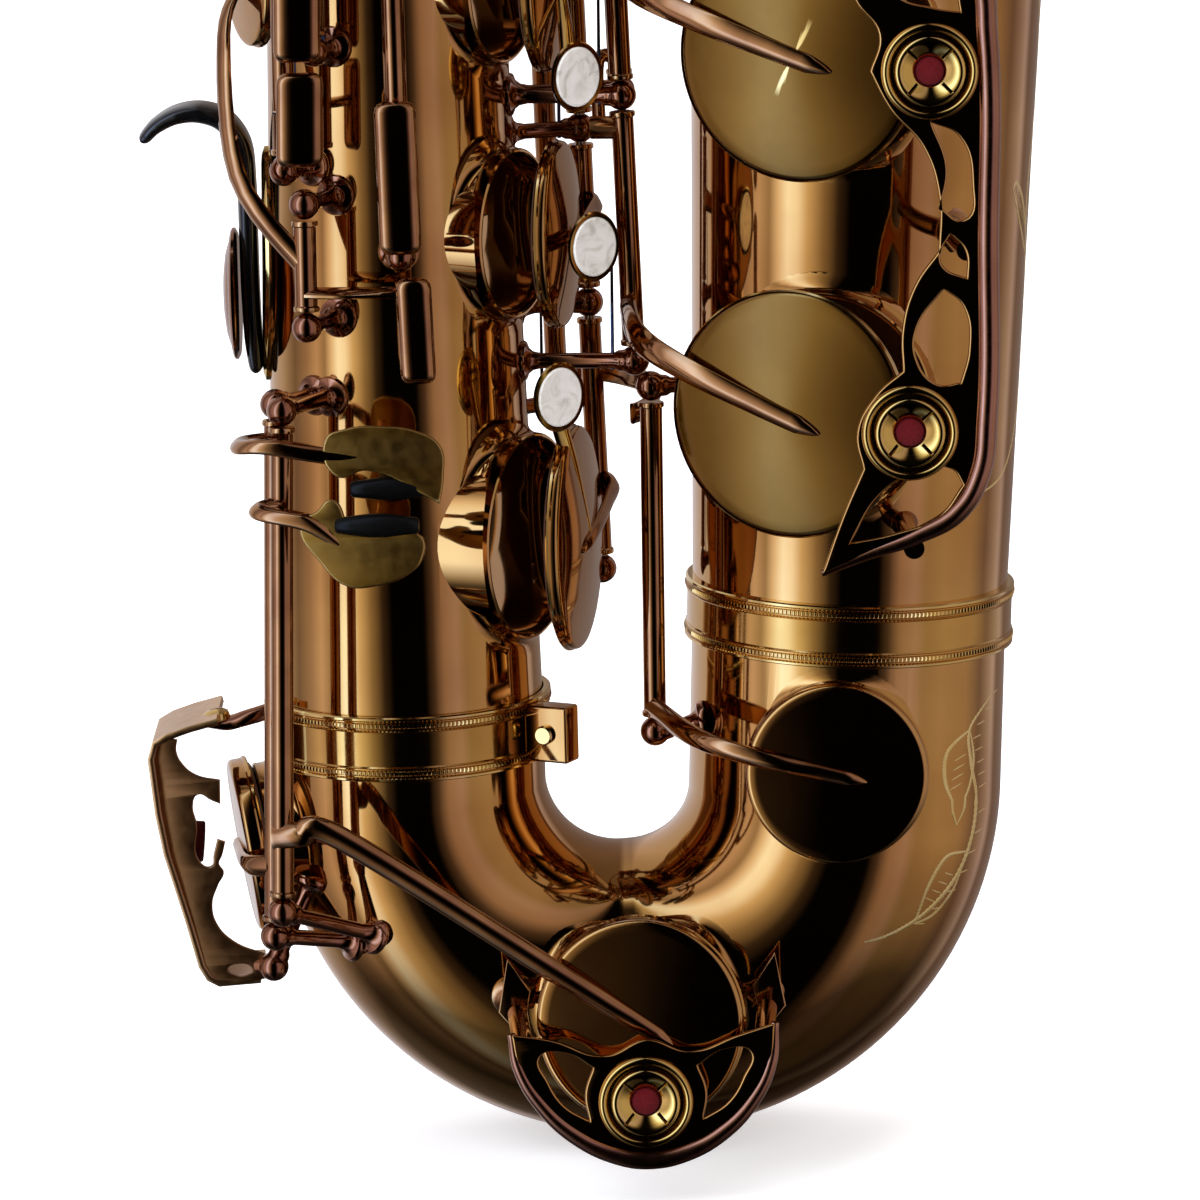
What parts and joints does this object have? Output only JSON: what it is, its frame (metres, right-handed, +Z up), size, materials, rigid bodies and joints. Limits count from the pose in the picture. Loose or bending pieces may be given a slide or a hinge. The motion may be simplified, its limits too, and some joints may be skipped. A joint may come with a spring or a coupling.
{
  "type": "tenor saxophone",
  "caption": "Curved tenor saxophone: conical body, bow and flared bell with full keywork, pearl touches, pierced key guards, neck and mouthpiece.",
  "frame": {"origin": "in the eye of the sling ring on the back of the body tube, which the horn hangs from", "axes": "+Z up the body tube's axis towards the neck, +X from the body tube towards the bell, -Y towards the player's right hand side"},
  "size_m": [0.4607, 0.158, 0.7904],
  "materials": {
    "body_lacquer": "dark bronze lacquer over brass, mirror smooth",
    "key_lacquer": "dark copper brown lacquer over brass, glossy",
    "gold_brass": "clear lacquered yellow brass",
    "steel": "ground steel rod",
    "pearl": "mother of pearl, polished",
    "black_plastic": "black, glossy",
    "felt": "crimson felt",
    "cork": "natural cork, matte",
    "cane": "natural cane, satin"
  },
  "bodies": {
    "horn": {"body_tube": "body_lacquer", "bow": "body_lacquer", "bell": "body_lacquer", "body_bow_ring": "gold_brass", "bell_bow_ring": "gold_brass", "bell_brace": "key_lacquer", "neck_receiver": "key_lacquer", "sling_ring": "gold_brass", "thumb_hook_plate": "gold_brass", "thumb_hook_screw": "key_lacquer", "thumb_rest": "black_plastic", "lower_stack_rod": "steel", "upper_stack_rod": "steel", "bell_key_guard": "body_lacquer", "low_b_felt": "felt", "low_b_flat_felt": "felt", "low_c_guard": "body_lacquer", "low_c_felt": "felt", "low_e_flat_guard": "key_lacquer", "low_e_flat_felt": "felt"},
    "neck": {"neck_tube": "body_lacquer", "neck_cork": "cork"},
    "neck_octave": {"neck_octave_key": "key_lacquer"},
    "mouthpiece_set": {"mouthpiece": "black_plastic", "ligature": "gold_brass", "reed": "cane"},
    "receiver_thumb_screw": {"receiver_screw": "key_lacquer"},
    "hook": {"thumb_hook": "black_plastic"},
    "d": {"d_key": "key_lacquer", "d_pearl": "pearl"},
    "e": {"e_key": "key_lacquer", "e_pearl": "pearl"},
    "f": {"f_key": "key_lacquer", "f_pearl": "pearl"},
    "f_sharp": {"f_sharp_key": "key_lacquer"},
    "g": {"g_key": "key_lacquer"},
    "a": {"a_key": "key_lacquer"},
    "bis": {"bis_key": "key_lacquer"},
    "b": {"b_key": "key_lacquer"},
    "c": {"c_key": "key_lacquer"},
    "low_b": {"low_b_key": "key_lacquer"},
    "low_b_flat": {"low_b_flat_key": "key_lacquer"},
    "low_c": {"low_c_key": "key_lacquer"},
    "low_c_sharp": {"low_c_sharp_key": "key_lacquer"},
    "g_sharp": {"g_sharp_key": "key_lacquer"},
    "low_e_flat": {"low_e_flat_key": "key_lacquer"},
    "side_b_flat": {"side_b_flat_key": "key_lacquer"},
    "side_c": {"side_c_key": "key_lacquer"},
    "high_e": {"high_e_key": "key_lacquer"},
    "high_f_sharp": {"high_f_sharp_key": "key_lacquer"},
    "trill_f_sharp": {"trill_f_sharp_key": "key_lacquer"},
    "palm_d": {"palm_d_key": "key_lacquer"},
    "palm_e_flat": {"palm_e_flat_key": "key_lacquer"},
    "palm_f": {"palm_f_key": "key_lacquer"},
    "octave_vent": {"octave_vent_key": "key_lacquer"},
    "low_b_lever": {"low_b_lever": "key_lacquer"},
    "low_c_sharp_lever": {"low_c_sharp_lever": "key_lacquer"},
    "octave_lever": {"octave_lever": "key_lacquer"},
    "e_flat_roller": {"e_flat_roller": "black_plastic"},
    "low_c_roller": {"low_c_roller": "black_plastic"}
  },
  "joints": [
    {"name": "d_pivot", "type": "hinge", "parent": "horn", "child": "d", "pos_m": [0.07419, 0.01428, -0.277], "axis": [-0.0247, -0.008, 0.9997], "range_deg": [-13, 0], "stiffness_Nm_per_rad": 0.05, "springref_deg": 17.19},
    {"name": "e_pivot", "type": "hinge", "parent": "horn", "child": "e", "pos_m": [0.07419, 0.01428, -0.277], "axis": [-0.0247, -0.008, 0.9997], "range_deg": [-13, 0], "stiffness_Nm_per_rad": 0.05, "springref_deg": 17.19},
    {"name": "f_pivot", "type": "hinge", "parent": "horn", "child": "f", "pos_m": [0.07419, 0.01428, -0.277], "axis": [-0.0247, -0.008, 0.9997], "range_deg": [-13, 0], "stiffness_Nm_per_rad": 0.05, "springref_deg": 17.19},
    {"name": "f_sharp_pivot", "type": "hinge", "parent": "horn", "child": "f_sharp", "pos_m": [0.07419, 0.01428, -0.277], "axis": [-0.0247, -0.008, 0.9997], "range_deg": [-12, 0], "stiffness_Nm_per_rad": 0.05, "springref_deg": 17.19},
    {"name": "g_pivot", "type": "hinge", "parent": "horn", "child": "g", "pos_m": [0.0664, 0.01317, -0.068], "axis": [-0.0244, -0.0089, 0.9997], "range_deg": [-13, 0], "stiffness_Nm_per_rad": 0.05, "springref_deg": 17.19},
    {"name": "a_pivot", "type": "hinge", "parent": "horn", "child": "a", "pos_m": [0.0664, 0.01317, -0.068], "axis": [-0.0244, -0.0089, 0.9997], "range_deg": [-13, 0], "stiffness_Nm_per_rad": 0.05, "springref_deg": 17.19},
    {"name": "bis_pivot", "type": "hinge", "parent": "horn", "child": "bis", "pos_m": [0.0664, 0.01317, -0.068], "axis": [-0.0244, -0.0089, 0.9997], "range_deg": [-13, 0], "stiffness_Nm_per_rad": 0.05, "springref_deg": 17.19},
    {"name": "b_pivot", "type": "hinge", "parent": "horn", "child": "b", "pos_m": [0.0664, 0.01317, -0.068], "axis": [-0.0244, -0.0089, 0.9997], "range_deg": [-13, 0], "stiffness_Nm_per_rad": 0.05, "springref_deg": 17.19},
    {"name": "c_pivot", "type": "hinge", "parent": "horn", "child": "c", "pos_m": [0.0664, 0.01317, -0.068], "axis": [-0.0244, -0.0089, 0.9997], "range_deg": [-13, 0], "stiffness_Nm_per_rad": 0.05, "springref_deg": 17.19},
    {"name": "low_b_pivot", "type": "hinge", "parent": "horn", "child": "low_b", "pos_m": [0.08242, -0.00734, -0.2265], "axis": [0.0257, -0.0036, -0.9997], "range_deg": [-10, 0], "stiffness_Nm_per_rad": 0.05, "springref_deg": 17.19},
    {"name": "low_b_flat_pivot", "type": "hinge", "parent": "horn", "child": "low_b_flat", "pos_m": [0.08242, -0.00734, -0.2265], "axis": [0.0257, -0.0036, -0.9997], "range_deg": [-8.5, 0], "stiffness_Nm_per_rad": 0.05, "springref_deg": 17.19},
    {"name": "low_c_pivot", "type": "hinge", "parent": "horn", "child": "low_c", "pos_m": [0.00283, -0.042, -0.3404], "axis": [-0.0321, -0.0062, -0.9995], "range_deg": [-6.6, 0], "stiffness_Nm_per_rad": 0.05, "springref_deg": 17.19},
    {"name": "low_c_sharp_pivot", "type": "hinge", "parent": "horn", "child": "low_c_sharp", "pos_m": [0.08503, -0.013, -0.3086], "axis": [-0.0103, 0, -0.9999], "range_deg": [0, 10], "stiffness_Nm_per_rad": 0.05, "springref_deg": -17.19},
    {"name": "g_sharp_pivot", "type": "hinge", "parent": "horn", "child": "g_sharp", "pos_m": [0.02669, 0.03367, -0.082], "axis": [0.0027, -0.0258, 0.9997], "range_deg": [0, 12], "stiffness_Nm_per_rad": 0.05, "springref_deg": -17.19},
    {"name": "low_e_flat_pivot", "type": "hinge", "parent": "horn", "child": "low_e_flat", "pos_m": [0.00063, -0.033, -0.348], "axis": [0.0335, 0.0064, 0.9994], "range_deg": [0, 9], "stiffness_Nm_per_rad": 0.05, "springref_deg": -17.19},
    {"name": "side_b_flat_pivot", "type": "hinge", "parent": "horn", "child": "side_b_flat", "pos_m": [0.00812, -0.02829, -0.18], "axis": [0.016, 0.0205, 0.9997], "range_deg": [0, 12], "stiffness_Nm_per_rad": 0.05, "springref_deg": -17.19},
    {"name": "side_c_pivot", "type": "hinge", "parent": "horn", "child": "side_c", "pos_m": [0.01534, -0.03193, -0.154], "axis": [0.011, 0.0235, 0.9997], "range_deg": [0, 12], "stiffness_Nm_per_rad": 0.05, "springref_deg": -17.19},
    {"name": "high_e_pivot", "type": "hinge", "parent": "horn", "child": "high_e", "pos_m": [0.0236, -0.03407, -0.134], "axis": [0.005, 0.0255, 0.9997], "range_deg": [0, 12], "stiffness_Nm_per_rad": 0.05, "springref_deg": -17.19},
    {"name": "high_f_sharp_pivot", "type": "hinge", "parent": "horn", "child": "high_f_sharp", "pos_m": [0.03276, -0.03628, -0.198], "axis": [-0.0018, 0.0259, 0.9997], "range_deg": [0, 12], "stiffness_Nm_per_rad": 0.05, "springref_deg": -17.19},
    {"name": "trill_f_sharp_pivot", "type": "hinge", "parent": "horn", "child": "trill_f_sharp", "pos_m": [0.01225, -0.03856, -0.2125], "axis": [0.011, 0.0235, 0.9997], "range_deg": [0, 12], "stiffness_Nm_per_rad": 0.05, "springref_deg": -17.19},
    {"name": "palm_d_pivot", "type": "hinge", "parent": "horn", "child": "palm_d", "pos_m": [0.02634, 0.02765, 0.104], "axis": [0.0036, -0.0257, 0.9997], "range_deg": [0, 10], "stiffness_Nm_per_rad": 0.05, "springref_deg": -17.19},
    {"name": "palm_e_flat_pivot", "type": "hinge", "parent": "horn", "child": "palm_e_flat", "pos_m": [0.02653, 0.02632, 0.156], "axis": [0.0036, -0.0257, 0.9997], "range_deg": [0, 10], "stiffness_Nm_per_rad": 0.05, "springref_deg": -17.19},
    {"name": "palm_f_pivot", "type": "hinge", "parent": "horn", "child": "palm_f", "pos_m": [0.02669, 0.02519, 0.2], "axis": [0.0036, -0.0257, 0.9997], "range_deg": [0, 10], "stiffness_Nm_per_rad": 0.05, "springref_deg": -17.19},
    {"name": "octave_vent_pivot", "type": "hinge", "parent": "horn", "child": "octave_vent", "pos_m": [0.00758, 0.01307, 0.134], "axis": [-0.0225, 0.013, -0.9997], "range_deg": [0, 10], "stiffness_Nm_per_rad": 0.05, "springref_deg": -17.19},
    {"name": "low_b_lever_pivot", "type": "hinge", "parent": "horn", "child": "low_b_lever", "pos_m": [0.08075, 0.00265, -0.168], "axis": [-0.0259, -0.0014, 0.9997], "range_deg": [0, 10.34]},
    {"name": "low_c_sharp_lever_pivot", "type": "hinge", "parent": "horn", "child": "low_c_sharp_lever", "pos_m": [0.06512, 0.0337, -0.242], "axis": [-0.0187, -0.018, 0.9997], "range_deg": [0, 3.04]},
    {"name": "octave_lever_pivot", "type": "hinge", "parent": "horn", "child": "octave_lever", "pos_m": [0.00958, 0.01859, 0.094], "axis": [0.0193, -0.0174, 0.9997], "range_deg": [0, 8], "stiffness_Nm_per_rad": 0.05, "springref_deg": -17.19},
    {"name": "e_flat_roller_spin", "type": "hinge", "parent": "low_e_flat", "child": "e_flat_roller", "pos_m": [0.02993, -0.0504, -0.2458], "axis": [1, 0, 0], "continuous": true},
    {"name": "low_c_roller_spin", "type": "hinge", "parent": "low_c", "child": "low_c_roller", "pos_m": [0.02645, -0.05287, -0.25335], "axis": [0.9934, -0.1149, 0.0009], "continuous": true},
    {"name": "neck_swivel", "type": "hinge", "parent": "horn", "child": "neck", "pos_m": [0.03023, 0, 0.296], "axis": [0, 0, 1], "range_deg": [-30, 30]},
    {"name": "mouthpiece_tuning_slide", "type": "slide", "parent": "neck", "child": "mouthpiece_set", "axis": [-0.997, 0, 0.078], "range_m": [-0.004, 0.004]},
    {"name": "neck_octave_pivot", "type": "hinge", "parent": "neck", "child": "neck_octave", "pos_m": [-0.00773, 0, 0.385], "axis": [0, 1, 0], "range_deg": [0, 3], "stiffness_Nm_per_rad": 0.05, "springref_deg": -17.19},
    {"name": "receiver_screw_turn", "type": "hinge", "parent": "horn", "child": "receiver_thumb_screw", "pos_m": [0.00806, -0.0085, 0.2986], "axis": [0, 1, 0], "continuous": true},
    {"name": "thumb_hook_slide", "type": "slide", "parent": "horn", "child": "hook", "axis": [0, 0, 1], "range_m": [-0.003, 0.003]}
  ],
  "couplings": [
    {"joint": "f_sharp_pivot", "follows": "f_pivot", "ratio": 0.923},
    {"joint": "c_pivot", "follows": "b_pivot", "ratio": 1},
    {"joint": "low_b_lever_pivot", "follows": "low_b_pivot", "ratio": -1.0291},
    {"joint": "low_c_sharp_lever_pivot", "follows": "low_c_sharp_pivot", "ratio": 0.2994},
    {"joint": "octave_lever_pivot", "follows": "neck_octave_pivot", "ratio": 2.6}
  ]
}
